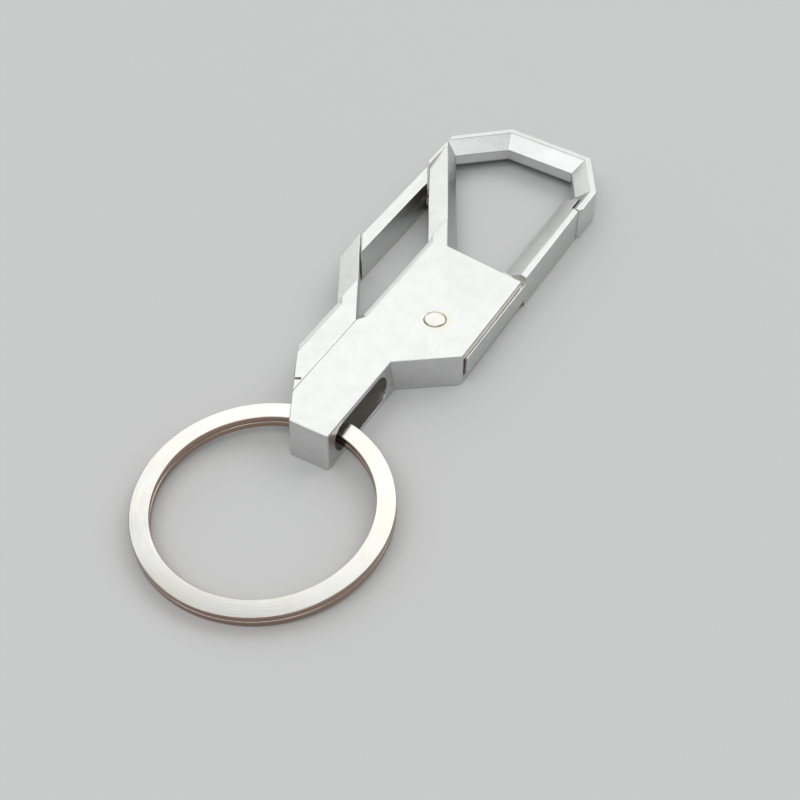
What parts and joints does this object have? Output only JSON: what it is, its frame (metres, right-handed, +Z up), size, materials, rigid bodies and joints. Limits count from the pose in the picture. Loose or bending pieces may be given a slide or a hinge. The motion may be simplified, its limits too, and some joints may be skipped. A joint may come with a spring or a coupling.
{
  "type": "belt key clip",
  "caption": "Cast belt key clip: a flat angular hook with a sprung main gate, a side loop with its own small sprung gate, and a split ring that swings in a slotted lug.",
  "frame": {"origin": "on the main gate's rivet axis, in the plane of the clip's flat underside", "axes": "+Y along the clip towards the hook's highest corner, +X towards the main gate, +Z up through the clip's thickness"},
  "size_m": [0.033, 0.1014, 0.0055],
  "materials": {
    "casting": "satin pearl nickel plate on a zinc casting",
    "gate_casting": "satin pearl nickel plate with faint brushing on the bevels",
    "rivet": "bright nickel, slightly warm",
    "pin": "bright steel",
    "spring": "spring steel wire",
    "ring": "bright nickel plate on flattened steel wire"
  },
  "bodies": {
    "body": {"hook_body": "casting", "gate_rivet": "rivet", "gate_spring": "spring", "side_arm": "casting", "side_arm_pin": "pin", "side_gate_pin": "pin", "side_gate_spring": "spring"},
    "main_gate": {"main_gate": "gate_casting"},
    "side_gate": {"side_gate": "gate_casting"},
    "split_ring": {"split_ring": "ring"}
  },
  "joints": [
    {"name": "main_gate_hinge", "type": "hinge", "parent": "body", "child": "main_gate", "pos_m": [0, 0, 0.0027], "axis": [0, 0, 1], "range_deg": [0, 25], "stiffness_Nm_per_rad": 0.06, "springref_deg": -20.05, "deforming": ["gate_spring"]},
    {"name": "side_gate_hinge", "type": "hinge", "parent": "body", "child": "side_gate", "pos_m": [-0.01509, 0.02869, 0.0027], "axis": [0, 0, 1], "range_deg": [0, 18], "stiffness_Nm_per_rad": 0.015, "springref_deg": -17.19, "deforming": ["side_gate_spring"]},
    {"name": "ring_swing", "type": "hinge", "parent": "body", "child": "split_ring", "pos_m": [-0.00344, -0.02295, 0.0027], "axis": [-1, 0, 0], "range_deg": [-87, 93]}
  ]
}
